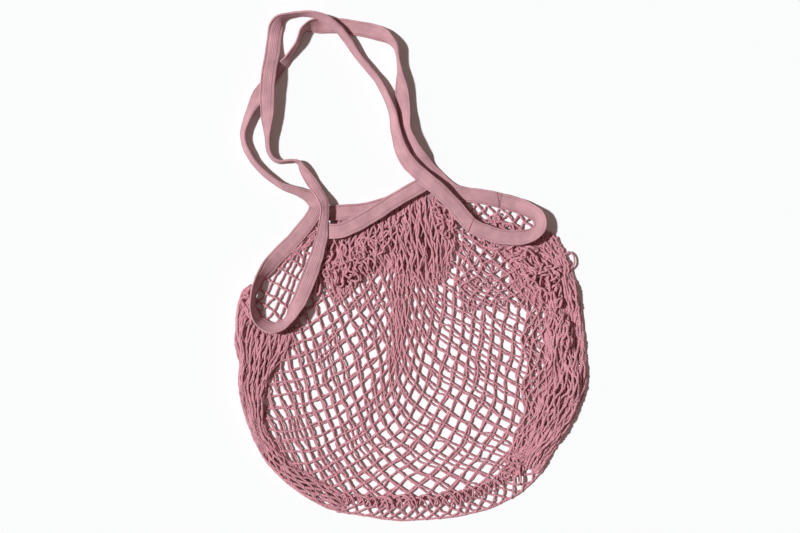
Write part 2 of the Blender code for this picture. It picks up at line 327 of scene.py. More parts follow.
# Places where the slack net lies in curls, each an oval turned by some degrees.
TANGLES = tuple(Tangle("net_tangle_" + name, *rest) for name, *rest in (
    ("crumple", 157, -8, 70, 48, -42, 4.0, 13.0, 0.6, 15, 321),
    ("mouth", -84, 0, 62, 36, 52, 4.0, 12.0, 0.75, 12, 302),
    ("tape_foot", 40, 50, 66, 18, -42, 5.0, 12.0, 0.85, 6, 303),
    ("left_loops", -205, -58, 56, 14, 84, 3.0, 11.0, 0.8, 6, 304),
    ("notch_foot", 122, 20, 74, 15, -4, 4.0, 10.0, 0.7, 6, 305),
    ("mouth_gap", -82, 54, 40, 6, 12, 1.5, 2.2, 0.5, 4, 307),
    ("roll", -36, 30, 90, 36, 28, 6.0, 11.0, 0.85, 7, 306),
    ("left_hem", -145, 17, 84, 7, 52, 1.6, 3.5, 0.26, 6, 320),
    ("notch_edge", -117, -6, 96, 12, 71, 4.0, 9.0, 0.4, 9, 309),
    ("right_window", 106, 51, 66, 10, -17, 1.8, 7.0, 0.4, 5, 310),
    ("right_rim", 176, -66, 84, 14, 84, 6.0, 13.0, 0.35, 6, 311),
    ("low_corner", 132, -243, 62, 24, 50, 3.0, 8.0, 0.5, 7, 312),
))
TANGLE_STRAND = 70.0
TANGLE_STEP = 1.3

# A single loop of yarn that sticks out past the right side.
LOOSE_LOOP = Edge([
    (187, 4), (189, 11), (196, 16), (201, 11), (202, 2), (198, -5), (192, -6), (186, -2),
])
LOOSE_LOOP_HEIGHT = 5.0

# Soft ridges of the front layer, up to the tapes that bind it: x and y of both
# ends, height and width.
FRONT_FOLDS = (
    (-103, 40, -63, 53, 9, 10),
    (-63, 53, -36, 74, 9, 10),
    (-36, 74, 12, 98, 8, 10),
    (20, 101, 60, 62, 9, 11),
    (60, 62, 85, 43, 8.5, 11),
    (85, 43, 134, 34, 8.5, 10),
    (-113, 34, -144, -48, 7.5, 10),
)

# A valley in the fold along the right side.
RIM_VALLEY = (
    (172, 0, 183, -40, 9, 6), (183, -40, 203, -76, 10, 6),
    (203, -76, 204, -106, 10, 6), (204, -106, 160, -155, 9, 7),
)

# The line of the bottom seam, rolled onto the front.
SEAM = Edge([
    (-87, -291), (-44, -296), (-16, -296), (22, -295), (59, -289), (91, -279),
    (118, -262), (137, -242), (151, -219),
])
SEAM_HEIGHT = 6.0
SEAM_LOOP = 19.0
# The loops swing and rise by the first amounts, and unevenly by the second ones.
SEAM_SWING = (6.6, 3.0)
SEAM_RISE = (1.8, 2.5)
# Each row has its offset, its phase in turns, its share of the turns and its curl.
SEAM_ROWS = ((0.0, 0.0, 1.0, 0.25), (0.4, 0.5, 1.0, 0.25), (1.5, 0.2, 0.7, 0.95))

# The tapes, by stations of their middle line: x, y, the height of the lower edge,
# the lean from flat in degrees and, where the tape is rolled narrower, its share
# of the full width.  A positive lean lifts the edge on the run's right side.
MOUTH_TAPE_FRONT = (
    (-107, 42, 10, 0), (-93, 42, 13, 0), (-77, 47, 14.5, 0),
    (-53, 60, 14, 0), (-21, 81, 13.5, 0), (9, 98, 12.5, 0),
    (19, 105, 11, 0),
)
MOUTH_TAPE_BACK = (
    (-108, 65, 2.3, 0), (-84, 66, 2.3, 0), (-52, 70, 2.3, 0),
    (-15, 82, 2.3, 0), (26, 92, 2.3, 0),
)
RIGHT_NOTCH_BACK = (
    (108, 81, 2.3, 0), (88, 85, 2.3, 0), (66, 88, 2.3, 0),
    (49, 93, 2.3, 0),
)
BACK_HANDLE = (
    (31, 109, 0, 0), (16, 125, 0, 10), (5, 143, 0, 45),
    (-7, 168, 0, 58), (-11, 194, 0, 30), (-14, 222, 0, 35),
    (-17, 250, 0, 80, 0.72), (-23, 275, 0, 70, 0.85), (-42, 289, 0, 15),
    (-78, 297, 0, 0), (-112, 299, 0, 5), (-135, 294, 0, 72),
    (-143.5, 277, 0, 78, 0.85), (-154, 259, 0, 58, 0.7),
    (-164, 247, 0, 30, 0.7), (-173, 237, 0, 5, 0.85),
    (-190, 214, 0, -12),
    (-203, 190, 0, -45, 0.75), (-211, 165, 0, -54, 0.62),
    (-206, 142, 0, -56, 0.6), (-189, 118, 0, -56, 0.6),
    (-165, 100, 0, -54, 0.64), (-142, 91, 0, -40, 0.75),
    (-127, 84, 0.6, -15, 0.9),
)
LEFT_NOTCH = (
    (-120, 71, 2.3, 10), (-131, 52, 2.3, 0), (-150, 29, 2.3, 0),
    (-172, 7, 2.3, 10), (-192, -20, 2.3, 60), (-199, -46, 2.3, 75),
    (-193, -67, 2.6, 56), (-178, -78, 3.5, 48),
    (-164, -76, 4, 52), (-153, -67, 5.5, 54),
    (-146, -53, 9.5, 28), (-138, -38, 12, 6),
    (-124, -2, 12.5, 0),
    (-114, 30, 13, 2, 0.84),
)
FRONT_HANDLE = (
    (-111, 50, 12.5, -10, 0.66), (-109.5, 74, 11.5, -24, 0.66),
    (-119.5, 94, 5, -18, 0.72), (-127, 105, 2.5, 5, 0.72),
    (-136, 119, 1, 38, 0.68), (-142, 128, 0, 70, 0.6),
    (-152, 130, 0, 82, 0.6), (-168, 129, 0, 80, 0.62),
    (-178, 139, 0, 72, 0.66), (-181, 160, 1, 64, 0.7),
    (-181, 186, 6, 25, 0.92), (-181, 214, 14, 0),
    (-178, 243, 14, 0), (-176, 254, 10.5, 0), (-174.5, 266, 4, 0),
    (-173, 281, 0.6, 0), (-171, 294, 0.2, -12), (-166, 305, 0, -48),
    (-157, 310.5, 0, -76, 0.85), (-142, 313, 0, -78, 0.75),
    (-120, 311, 3.5, -58, 0.75), (-100, 301, 4, -44, 0.72),
    (-84, 284, 2.5, -42, 0.66), (-65, 257, 0, -44, 0.62),
    (-42, 228, 0, -55, 0.68), (-26, 194, 0.5, -52, 0.82),
    (-21, 169, 1, -46, 0.92), (-15, 146, 2.5, -38),
    (-5, 128, 6, -20),
    (10, 112, 11.5, 0), (27, 98, 16, 0),
)
RIGHT_NOTCH_FRONT = (
    (41, 85, 15, 0), (54, 71, 14, 0), (67, 56, 13, 0),
    (77, 47, 13, 0), (91, 41, 13, 0), (111, 35, 13, 0),
    (132, 34, 13, 10),
    (149, 38, 9, 32), (159, 47, 6, 36), (157, 60, 4, 32),
    (144, 69, 2.3, 14), (128, 75.5, 2.3, 0), (109, 80.8, 2.3, 0),
)
HANDLE_TAPE = (
    RIGHT_NOTCH_BACK + BACK_HANDLE + LEFT_NOTCH + FRONT_HANDLE + RIGHT_NOTCH_FRONT
)

# Sewn lines across the tapes: where the front tape is folded to turn along the
# right notch, and where the back one's ends are joined.
CROSS_SEAMS = (
    ((76.0, 58.0, 16.3), (68.5, 41.0, 16.3)),
    ((105.5, 90.0, 5.5), (108.5, 72.5, 5.5)),
)

# Small tools for objects and node trees

def add_object(name, data):
    """A new object in the scene for a mesh, lamp or camera."""
    thing = bpy.data.objects.new(name, data)
    bpy.context.scene.collection.objects.link(thing)
    return thing


def link_all(tree, *links):
    """Join outputs of nodes to inputs of others, by name or number."""
    for node, output, other, socket in links:
        tree.links.new(node.outputs[output], other.inputs[socket])


def add_node(tree, kind, **settings):
    """A node with some of its settings and inputs."""
    node = tree.nodes.new(kind)
    for name, value in settings.items():
        if name in node.inputs:
            node.inputs[name].default_value = value
        else:
            setattr(node, name, value)
    return node


def set_inputs(node, values):
    """Give a node's named inputs their values."""
    for name, value in values.items():
        node.inputs[name].default_value = value


def geometry_nodes(tree, *kinds):
    """One geometry node of each kind."""
    return [add_node(tree, "GeometryNode" + kind) for kind in kinds]


def geometry_tree(name, **sockets):
    """An empty Geometry Nodes tree with named inputs, and its first and last node."""
    tree = bpy.data.node_groups.new(name, "GeometryNodeTree")
    ends = [("Geometry", "Geometry", "INPUT")]
    ends += [(label.replace("_", " "), kind, "INPUT") for label, kind in sockets.items()]
    ends += [("Material", "Material", "INPUT"), ("Geometry", "Geometry", "OUTPUT")]
    for label, kind, way in ends:
        tree.interface.new_socket(label, in_out=way, socket_type="NodeSocket" + kind)
    return tree, add_node(tree, "NodeGroupInput"), add_node(tree, "NodeGroupOutput")


def end_tree(tree, source, made, result):
    """Make a tree's pieces real and smooth, and paint them, as its result."""
    real, smooth, paint = geometry_nodes(
        tree, "RealizeInstances", "SetShadeSmooth", "SetMaterial")
    chain = (made, real, smooth, paint, result)
    link_all(tree, *((a, 0, b, 0) for a, b in zip(chain, chain[1:])))
    link_all(tree, (source, "Material", paint, "Material"))


def run_tree(thing, tree, values):
    """Run a tree on an object with the given inputs and keep the mesh."""
    modifier = thing.modifiers.new(tree.name, "NODES")
    modifier.node_group = tree
    for item in tree.interface.items_tree:
        if item.in_out == "INPUT" and item.name in values:
            modifier[item.identifier] = values[item.name]
    bpy.context.view_layer.update()
    graph = bpy.context.evaluated_depsgraph_get()
    mesh = bpy.data.meshes.new_from_object(thing.evaluated_get(graph))
    mesh.name = thing.name
    thing.modifiers.remove(modifier)
    old = thing.data
    thing.data = mesh
    bpy.data.meshes.remove(old)
    return thing


def yarn_tree():
    """Round yarn along every polyline, and a knot at every marked point."""
    tree, source, result = geometry_tree(
        "yarn_and_knots", Yarn_radius="Float", Yarn_sides="Int", Knot_radius="Float",
        Knot_stretch="Float")
    to_curve, measure, turn, circle, tube, points, place, both = geometry_nodes(
        tree, "MeshToCurve", "SplineParameter", "SplineParameter", "CurvePrimitiveCircle",
        "CurveToMesh", "MeshToPoints", "InstanceOnPoints", "JoinGeometry")
    keep_length, keep_turn = [
        add_node(
            tree, "GeometryNodeStoreNamedAttribute", data_type="FLOAT", domain="POINT",
            Name=name)
        for name in ("yarn_length", "yarn_turn")
    ]
    set_inputs(tube, {"Fill Caps": True})
    marked, run = [
        add_node(tree, "GeometryNodeInputNamedAttribute", data_type=kind, Name=name)
        for name, kind in (("knot", "BOOLEAN"), ("run", "FLOAT_VECTOR"))
    ]
    ball = add_node(tree, "GeometryNodeMeshUVSphere", Segments=6, Rings=4)
    aim = add_node(tree, "FunctionNodeAlignRotationToVector", axis="Z")
    stretch = add_node(tree, "ShaderNodeCombineXYZ", X=1.0, Y=1.0)
    link_all(
        tree,
        (source, "Geometry", to_curve, "Mesh"),
        (to_curve, "Curve", keep_length, "Geometry"),
        (measure, "Length", keep_length, "Value"),
        (source, "Yarn radius", circle, "Radius"),
        (source, "Yarn sides", circle, "Resolution"),
        (circle, "Curve", keep_turn, "Geometry"),
        (turn, "Factor", keep_turn, "Value"),
        (keep_length, "Geometry", tube, "Curve"),
        (keep_turn, "Geometry", tube, "Profile Curve"),
        (source, "Geometry", points, "Mesh"),
        (marked, "Attribute", points, "Selection"),
        (source, "Knot radius", ball, "Radius"),
        (source, "Knot stretch", stretch, "Z"),
        (run, "Attribute", aim, "Vector"),
        (points, "Points", place, "Points"),
        (ball, "Mesh", place, "Instance"),
        (aim, "Rotation", place, "Rotation"),
        (stretch, "Vector", place, "Scale"),
        (tube, "Mesh", both, "Geometry"),
        (place, "Instances", both, "Geometry"))
    end_tree(tree, source, both, result)
    return tree


def stitch_tree():
    """A row of short thread stitches along every polyline."""
    tree, source, result = geometry_tree(
        "stitch_row", Spacing="Float", Half_stitch="Float", Thread_radius="Float")
    to_curve, tangent, place = geometry_nodes(
        tree, "MeshToCurve", "InputTangent", "InstanceOnPoints")
    space = add_node(tree, "GeometryNodeResampleCurve", mode="LENGTH")
    aim = add_node(tree, "FunctionNodeAlignRotationToVector", axis="Z")
    ball = add_node(tree, "GeometryNodeMeshUVSphere", Segments=5, Rings=4, Radius=1.0)
    size = add_node(tree, "ShaderNodeCombineXYZ")
    link_all(
        tree,
        (source, "Geometry", to_curve, "Mesh"),
        (to_curve, "Curve", space, "Curve"),
        (source, "Spacing", space, "Length"),
        (space, "Curve", place, "Points"),
        (ball, "Mesh", place, "Instance"),
        (tangent, "Tangent", aim, "Vector"),
        (aim, "Rotation", place, "Rotation"),
        (source, "Thread radius", size, "X"),
        (source, "Thread radius", size, "Y"),
        (source, "Half stitch", size, "Z"),
        (size, "Vector", place, "Scale"))
    end_tree(tree, source, place, result)
    return tree


# Materials

def cloth_material(name, color, roughness, sheen, scatter=0.0):
    """A matt cloth with its shader, ready for its pattern."""
    material = bpy.data.materials.new(name)
    material.use_nodes = True
    tree = material.node_tree
    shader = tree.nodes["Principled BSDF"]
    set_inputs(shader, {
        "Base Color": (*color, 1.0), "Roughness": roughness, "Specular IOR Level": 0.2,
        "Sheen Weight": sheen, "Sheen Roughness": 0.5, "Sheen Tint": (1.0, 0.86, 0.88, 1.0),
        "Subsurface Weight": scatter, "Subsurface Radius": (1.0, 0.55, 0.6),
        "Subsurface Scale": 1.1 * MM,
    })
    return material, tree, shader


def attribute_value(tree, name):
    """The named value kept on the mesh's points."""
    node = add_node(tree, "ShaderNodeAttribute", attribute_name=name)
    return node.outputs["Fac"]


def math_node(tree, operation, first, second=0.0):
    """A sum, product or the like of two values or sockets."""
    node = add_node(tree, "ShaderNodeMath", operation=operation)
    for socket, value in zip(node.inputs, (first, second)):
        if isinstance(value, (int, float)):
            socket.default_value = value
        else:
            tree.links.new(value, socket)
    return node.outputs["Value"]


def noise_value(tree, scale, detail):
    """A noise over the piece."""
    place = add_node(tree, "ShaderNodeTexCoord")
    cloud = add_node(tree, "ShaderNodeTexNoise", Scale=scale, Detail=detail)
    link_all(tree, (place, "Object", cloud, "Vector"))
    return cloud.outputs["Fac"]


def wave(tree, name, spacing):
    """A sine of a value kept on the mesh, repeating at a spacing."""
    turns = math_node(
        tree, "MULTIPLY", attribute_value(tree, name), 2 * math.pi / (spacing * MM))
    return math_node(tree, "SINE", turns)


def add_relief(tree, shader, pattern, fuzz, strength, depth):
    """Bump a shader by its pattern and a fine fuzz."""
    bump = add_node(tree, "ShaderNodeBump", Strength=strength, Distance=depth * MM)
    tree.links.new(math_node(tree, "ADD", pattern, fuzz), bump.inputs["Height"])
    link_all(tree, (bump, "Normal", shader, "Normal"))


def mottled_color(tree, shader, color, scale, low, high):
    """Vary a colour softly over the piece, between two brightnesses."""
    ramp = add_node(tree, "ShaderNodeMapRange")
    set_inputs(ramp, {"From Min": 0.3, "From Max": 0.7, "To Min": low, "To Max": high})
    tint = add_node(tree, "ShaderNodeMix", data_type="RGBA", blend_type="MULTIPLY")
    tint.inputs[0].default_value = 1.0
    tint.inputs[6].default_value = (*color, 1.0)
    tree.links.new(noise_value(tree, scale, 4.0), ramp.inputs["Value"])
    link_all(tree, (ramp, "Result", tint, 7), (tint, 2, shader, "Base Color"))
    return ramp.outputs["Result"], tint.inputs[7]


def yarn_material():
    """Soft cotton yarn of two plies twisted together."""
    material, tree, shader = cloth_material("yarn_pink", YARN_PINK, 0.85, 0.25, 0.4)
    mottled_color(tree, shader, YARN_PINK, 140.0, 0.88, 1.12)
    length = attribute_value(tree, "yarn_length")
    turn = attribute_value(tree, "yarn_turn")
    along = math_node(tree, "MULTIPLY", length, 2 * math.pi / (PLY_LENGTH * MM))
    around = math_node(tree, "MULTIPLY", turn, 4 * math.pi)
    twist = math_node(tree, "SINE", math_node(tree, "ADD", along, around))
    add_relief(tree, shader, twist, noise_value(tree, 2600.0, 2.0), 0.55, 0.25)
    return material


def tape_material():
    """Ribbed cotton tape: ribs along it, courses across it and sewn grooves, with painted shade
    between the ribs and in the grooves.
    """
    material, tree, shader = cloth_material("tape_pink", TAPE_PINK, 0.82, 0.3)
    mottled, tint = mottled_color(tree, shader, TAPE_PINK, 70.0, 0.84, 1.10)
    weave = math_node(
        tree, "ADD", math_node(tree, "MULTIPLY", wave(tree, "tape_across", RIB_SPACING), 0.35),
        math_node(tree, "MULTIPLY", wave(tree, "tape_run", COURSE_SPACING), 0.4))
    fuzz = math_node(tree, "MULTIPLY", noise_value(tree, 900.0, 4.0), 1.6)
    add_relief(tree, shader, weave, fuzz, 0.8, 0.35)

    # Painted shade: the colour is darker between the ribs and in the stitched grooves along both
    # edges.
    from_edge = math_node(
        tree, "SUBTRACT", (TAPE_WIDTH / 2 - STITCH_INSET) * MM,
        math_node(tree, "ABSOLUTE", attribute_value(tree, "tape_across")))
    groove = math_node(
        tree, "LESS_THAN", math_node(tree, "ABSOLUTE", from_edge), 0.45 * MM)
    painted_shade = math_node(
        tree, "SUBTRACT", math_node(tree, "ADD", 0.955, math_node(tree, "MULTIPLY", weave, 0.05)),
        math_node(tree, "MULTIPLY", groove, 0.16))
    # The painted shade darkens the tape's mottled colour.
    tree.links.new(math_node(tree, "MULTIPLY", mottled, painted_shade), tint)
    return material


def thread_material():
    """Sewing thread, a little darker than the tape."""
    material, tree, shader = cloth_material("thread_pink", STITCH_PINK, 0.7, 0.1)
    mottled_color(tree, shader, STITCH_PINK, 300.0, 0.85, 1.1)
    return material


# The net

def stray(points, scale, reach, seed):
    """A smooth random offset in each direction for an array of points."""
    shift = Vector((seed * 7.3, seed * 3.1, seed * 5.7))
    offsets = [
        noise.noise_vector(Vector(point) / scale + shift) for point in points
    ]
    return np.array(offsets) * reach


def fold_lift(points, folds):
    """Height that the strongest of some ridges gives each point."""
    lifts = []
    for x, y, end_x, end_y, height, width in folds:
        start = np.array([x, y], float)
        run = np.array([end_x, end_y], float) - start
        t = np.clip((points[:, :2] - start) @ run / (run @ run), 0.0, 1.0)
        away = np.linalg.norm(points[:, :2] - start - t[:, None] * run, axis=1)
        lifts.append(height * np.exp(-(away / width) ** 2))
    return np.max(lifts, axis=0)


def curve_between(before, after, slope_before, slope_after, span, t):
    """The smooth curve between two table values with their slopes."""
    cube, square = t ** 3, t ** 2
    return (
        before * (2 * cube - 3 * square + 1) + slope_before * span * (cube - 2 * square + t)
        + after * (3 * square - 2 * cube) + slope_after * span * (cube - square)
    )


def table_span(places, wanted):
    """The table's interval that holds each wanted place, its span and the share."""
    k = np.clip(np.searchsorted(places, wanted, side="right") - 1, 0, len(places) - 2)
    span = places[k + 1] - places[k]
    return k, span, (wanted - places[k]) / span


def guided_points(rows, columns):
    """Points in plan of the net's body at arrays of rows and columns."""
    table = np.array([guide[1:] for guide in GUIDES], float).swapaxes(0, 1)
    places = np.array(GUIDE_ROWS, float)
    slopes = np.gradient(table, places, axis=0)
    k, span, t = table_span(places, rows)
    span, t = span[:, None, None], t[:, None, None]
    across = curve_between(table[k], table[k + 1], slopes[k], slopes[k + 1], span, t)
    places = np.array([guide.column for guide in GUIDES], float)
    slopes = np.gradient(across, places, axis=1)
    k, span, t = table_span(places, columns)
    span, t = span[:, None], t[:, None]
    n = np.arange(len(k))
    return curve_between(
        across[n, k], across[n, k + 1], slopes[n, k], slopes[n, k + 1], span, t)


def is_inside(points, outline):
    """Whether each point lies inside an outline in plan."""
    x, y = points[:, 0], points[:, 1]
    inside = np.zeros(len(points), bool)
    for (ax, ay), (bx, by) in zip(outline, outline[1:] + outline[:1]):
        crosses = (ay > y) != (by > y)
        reach = ax + (y - ay) * (bx - ax) / (by - ay if by != ay else 1.0)
        inside ^= crosses & (x < reach)
    return inside


def cut_to_outline(strand, outline):
    """The stretches of a marked strand that lie inside an outline."""
    pieces = []
    start = None
    for k, here in enumerate([*is_inside(strand[0], outline), False]):
        if here and start is None:
            start = k
        if not here and start is not None:
            if k - start > 2:
                pieces.append([part[start:k] for part in strand])
            start = None
    return pieces


def knot_offsets(points, part, broad_scale, fine_scale, fine_share, seed):
    """How far knots stray in plan, broadly and finely, and how they are heaped."""
    broad = stray(points, broad_scale, part.wander, seed)
    fine = stray(points, fine_scale, part.wander * fine_share, seed + 50)
    heap = stray(points, 11.0, part.pile, seed + 90)
    return np.column_stack([(broad + fine)[:, :2], heap[:, 2]]) * 2.0


def body_lattice(layer):
    """Knots of the body's diamonds, keyed by half row and half column."""
    first, last = 2 * GUIDES[0].column, 2 * GUIDES[-1].column
    keys = [
        (r, c) for r in range(2 * GUIDE_ROWS[-1] + 1)
        for c in range(first, last + 1) if (r + c) % 2 == 0
    ]
    index = {key: k for k, key in enumerate(keys)}
    rows = np.array([r for r, _ in keys]) / 2
    columns = np.array([c for _, c in keys]) / 2
    share = np.clip(columns / 7.0, 0, 1)
    shift = layer.shift[0] + (layer.shift[1] - layer.shift[0]) * share
    rows, columns = rows - shift, columns + shift
    plan = guided_points(rows, columns)
    run = guided_points(rows + 0.1, columns) - guided_points(rows - 0.1, columns)
    points = np.column_stack([plan, np.full(len(plan), layer.low)])
    if layer is FRONT:
        points[:, 2] += fold_lift(points, FRONT_FOLDS)
    points += knot_offsets(points, layer, 30.0, 8.0, 0.6, layer.seed)
    return index, points, np.column_stack([run, np.zeros(len(run))])


def make_body(layer, outline, tree, material):
    """One layer of the net's body as yarn and knots."""
    index, points, run = body_lattice(layer)
    strands = []
    for lean, path in strand_paths(index):
        share = np.clip((points[path, 1] - LOOSER_FROM) / LOOSER_OVER, 0, 1)
        slack = layer.slack * (1 + LOOSER_ABOVE * share)
        line = strand_points(points[path], slack, layer.seed, lean)
        strands += cut_to_outline(marked_strand(line, lean, run[path]), outline)
    return make_yarn(layer.name, strands, tree, material)


def patch_points(patch, u, v):
    """Points of a patch at shares u across and v down, with their heights."""
    u, v = np.clip(u, 0, 1), np.clip(v, 0, 1)
    top, bottom = patch.top.at(u), patch.bottom.at(u)
    left, right = patch.left.at(v), patch.right.at(v)
    a, b = u[:, None], v[:, None]
    corners = (
        patch.top.at([0.0]) * (1 - a) * (1 - b) + patch.top.at([1.0]) * a * (1 - b)
        + patch.bottom.at([0.0]) * (1 - a) * b + patch.bottom.at([1.0]) * a * b
    )
    plan = top * (1 - b) + bottom * b + left * (1 - a) + right * a - corners
    height = patch.low + patch.crown * (
        np.sin(np.pi * u) * np.sin(np.pi * v)).clip(0) ** 0.5
    return np.column_stack([plan, height])


def lattice(patch, layer):
    """Knots of a patch's diamonds, keyed by half row and half column."""
    keys = [
        (r, c) for r in range(2 * patch.rows + 1)
        for c in range(r % 2, 2 * patch.columns + 1, 2)
    ]
    index = {key: k for k, key in enumerate(keys)}
    v = np.array([r for r, _ in keys]) / (2 * patch.rows) + 0.17 / patch.rows * layer
    u = np.array([c for _, c in keys]) / (2 * patch.columns) + 0.31 / patch.columns * layer
    seed = patch.seed + 1000 * layer
    points = patch_points(patch, u, v)
    inner = np.clip(v, 0.02, 0.98)
    run = patch_points(patch, u, inner + 0.01) - patch_points(patch, u, inner - 0.01)
    run[:, 2] = 0.0
    inside = (np.minimum(u, 1 - u) * 12).clip(0, 1) * (np.minimum(v, 1 - v) * 12).clip(0, 1)
    offsets = knot_offsets(points, patch, 34.0, 9.0, 0.5, seed)
    offsets[:, :2] *= inside[:, None]
    offsets[:, 2] -= layer * 2.2 * YARN_RADIUS
    points += offsets
    if patch is RIGHT_RIM:
        points[:, 2] -= fold_lift(points, RIM_VALLEY)
    points[:, 2] = np.maximum(points[:, 2], YARN_RADIUS)
    return index, points, run


def strand_paths(index):
    """Both families of strands, as lists of knots."""
    paths = []
    for lean in (1, -1):
        for r, c in index:
            if (r - 1, c - lean) in index:
                continue
            path = []
            while (r, c) in index:
                path.append(index[r, c])
                r += 1
                c += lean
            if len(path) > 1:
                paths.append((lean, path))
    return paths


def strand_points(knots, slack, seed, lean):
    """A strand's points: smooth through its knots, curling between them."""
    count = len(knots) - 1
    slack = np.broadcast_to(slack, len(knots))[:count, None]
    padded = np.vstack([knots[:1], knots, knots[-1:]])
    points = []
    for step in range(STEPS_PER_LEG):
        t = step / STEPS_PER_LEG
        part = blend(
            padded[:count], padded[1:count + 1], padded[2:count + 2],
            padded[3:count + 3], t)
        if step:
            part = part + stray(part, 5.0, 1.0, seed + 10 * lean) * slack
            part[:, 2] += 0.5 * lean * math.sin(math.pi * t)
        points.append(part)
    mixed = np.stack(points, axis=1).reshape(-1, 3)
    return np.vstack([mixed, knots[-1:]])


def marked_strand(line, lean=0, run=0.0):
    """A line, the marks of its knots and the way that each knot is stretched.

    Only the first of the two families of strands carries knots, so that each
    crossing has one.
    """
    mark = np.zeros(len(line), bool)
    way = np.zeros((len(line), 3))
    if lean == 1:
        mark[::STEPS_PER_LEG] = True
        way[::STEPS_PER_LEG] = run
    return line, mark, way


def add_lines(name, lines):
    """An object of bare edges along lines given in millimetres."""
    edges = []
    first = 0
    for line in lines:
        edges += [(first + k, first + k + 1) for k in range(len(line) - 1)]
        first += len(line)
    mesh = bpy.data.meshes.new(name)
    mesh.from_pydata((np.vstack(lines) * MM).tolist(), edges, [])
    return add_object(name, mesh)


def make_yarn(name, strands, tree, material, thicker=1.0):
    """Yarn and knots along marked strands, kept clear of the surface."""
    lines, marks, runs = zip(*strands)
    for line, mark in zip(lines, marks):
        reach = np.where(mark, KNOT_RADIUS, YARN_RADIUS)
        line[:, 2] = np.maximum(line[:, 2], thicker * reach + FLOOR_GAP)
    thing = add_lines(name, lines)
    knot = thing.data.attributes.new("knot", "BOOLEAN", "POINT")
    knot.data.foreach_set("value", np.concatenate(marks))
    run = thing.data.attributes.new("run", "FLOAT_VECTOR", "POINT")
    run.data.foreach_set("vector", np.vstack(runs).ravel())
    return run_tree(thing, tree, {
        "Yarn radius": thicker * YARN_RADIUS * MM,
        "Yarn sides": YARN_SIDES,
        "Knot radius": thicker * KNOT_RADIUS * MM,
        "Knot stretch": KNOT_STRETCH,
        "Material": material,
    })


def border_strands(patch):
    """Yarn that runs along a patch's outer edge, where the net is folded."""
    share = np.linspace(0, 1, int(patch.left.length() / 3.0))
    strands = []
    borders = ((-0.3, patch.low), (2.4, patch.low + 1.8))
    for inset, height in borders[:max(1, patch.layers - 1)]:
        plan = patch.left.at(share)
        inward = patch.right.at(share) - plan
        inward /= np.linalg.norm(inward, axis=1)[:, None]
        line = np.column_stack([plan + inward * inset, np.full(len(plan), height)])
        line += stray(line, 13.0, 1.1, patch.seed + round(10 * inset))
        strands.append(marked_strand(line))
    return strands


def make_patch(patch, tree, material):
    """One stretch of net as yarn and knots."""
    strands = []
    for layer in range(patch.layers):
        index, points, run = lattice(patch, layer)
        for lean, path in strand_paths(index):
            line = strand_points(points[path], patch.slack, patch.seed, lean)
            strands.append(marked_strand(line, lean, run[path]))
    if patch in FOLDED_PATCHES:
        strands += border_strands(patch)
    thicker = BUNCH_YARN if patch.layers > 1 else 1.0
    return make_yarn(patch.name, strands, tree, material, thicker)


def tangle_line(tangle, rng):
    """One strand that wanders in curls inside its oval."""
    turn = math.radians(tangle.turn)
    half = np.array([tangle.length, tangle.width]) / 2
    place = rng.uniform(-0.8, 0.8, 2) * half
    heading = rng.uniform(0, 2 * math.pi)
    if tangle.width < 0.3 * tangle.length:
        heading = 0.25 * (heading - math.pi)
    level = rng.uniform(0, 1)
    phase = rng.uniform(0, 900)
    line = []
    for k in range(int(TANGLE_STRAND / TANGLE_STEP)):
        bend = noise.noise(Vector((k * 0.16 + phase, 3.1, tangle.seed)))
        rise = noise.noise(Vector((k * 0.12 + phase, 8.7, tangle.seed)))
        heading += tangle.curl * bend
        if np.linalg.norm(place / half) > 0.85:
            home = math.atan2(-place[1], -place[0])
            heading += 0.5 * math.sin(home - heading)
        place = place + TANGLE_STEP * np.array([math.cos(heading), math.sin(heading)])
        height = tangle.low + (tangle.high - tangle.low) * min(max(level + rise, 0), 1)
        line.append((
            tangle.x + place[0] * math.cos(turn) - place[1] * math.sin(turn),
            tangle.y + place[0] * math.sin(turn) + place[1] * math.cos(turn),
            height,
        ))
    return np.array(line)


def make_tangle(tangle, tree, material):
    """A loose heap of curled yarn."""
    rng = np.random.default_rng(tangle.seed)
    strands = [marked_strand(tangle_line(tangle, rng)) for _ in range(tangle.strands)]
    return make_yarn(tangle.name, strands, tree, material, BUNCH_YARN)


def make_seam(tree, material):
    """The curled yarn that closes the bottom, in uneven loops along a line."""
    length = SEAM.length()
    strands = []
    for row, (offset, phase, often, curl) in enumerate(SEAM_ROWS):
        turns = often * length / SEAM_LOOP
        share = np.linspace(0, 1, int(turns * 14))
        middle = SEAM.at(share)
        run = SEAM.at(np.minimum(share + 0.004, 1)) - SEAM.at(np.maximum(share - 0.004, 0))
        run /= np.linalg.norm(run, axis=1)[:, None]
        side = np.column_stack([-run[:, 1], run[:, 0]])
        marks = np.column_stack([share * length, np.full(len(share), 40.0 * row), share * 0])
        uneven = stray(marks, 9.0, 1.0, 130 + row)
        angle = 2 * np.pi * (turns * share + phase) + 1.2 * uneven[:, 0]
        reach = SEAM_SWING[0] + SEAM_SWING[1] * uneven[:, 1]
        plan = middle + side * (offset + reach * np.cos(angle))[:, None]
        plan += run * (curl * reach * np.sin(angle))[:, None]
        height = SEAM_HEIGHT + SEAM_RISE[0] * np.sin(angle + 0.8) + SEAM_RISE[1] * uneven[:, 2]
        strands.append(marked_strand(np.column_stack([plan, height])))
    return make_yarn("net_seam", strands, tree, material)


def make_loose_loop(tree, material):
    """The single loop of yarn past the right side."""
    plan = LOOSE_LOOP.at(np.linspace(0, 1, 40))
    line = np.column_stack([plan, np.full(len(plan), LOOSE_LOOP_HEIGHT)])
    line += stray(line, 9.0, 1.0, 150)
    return make_yarn("net_loose_loop", [marked_strand(line)], tree, material)


# The tapes

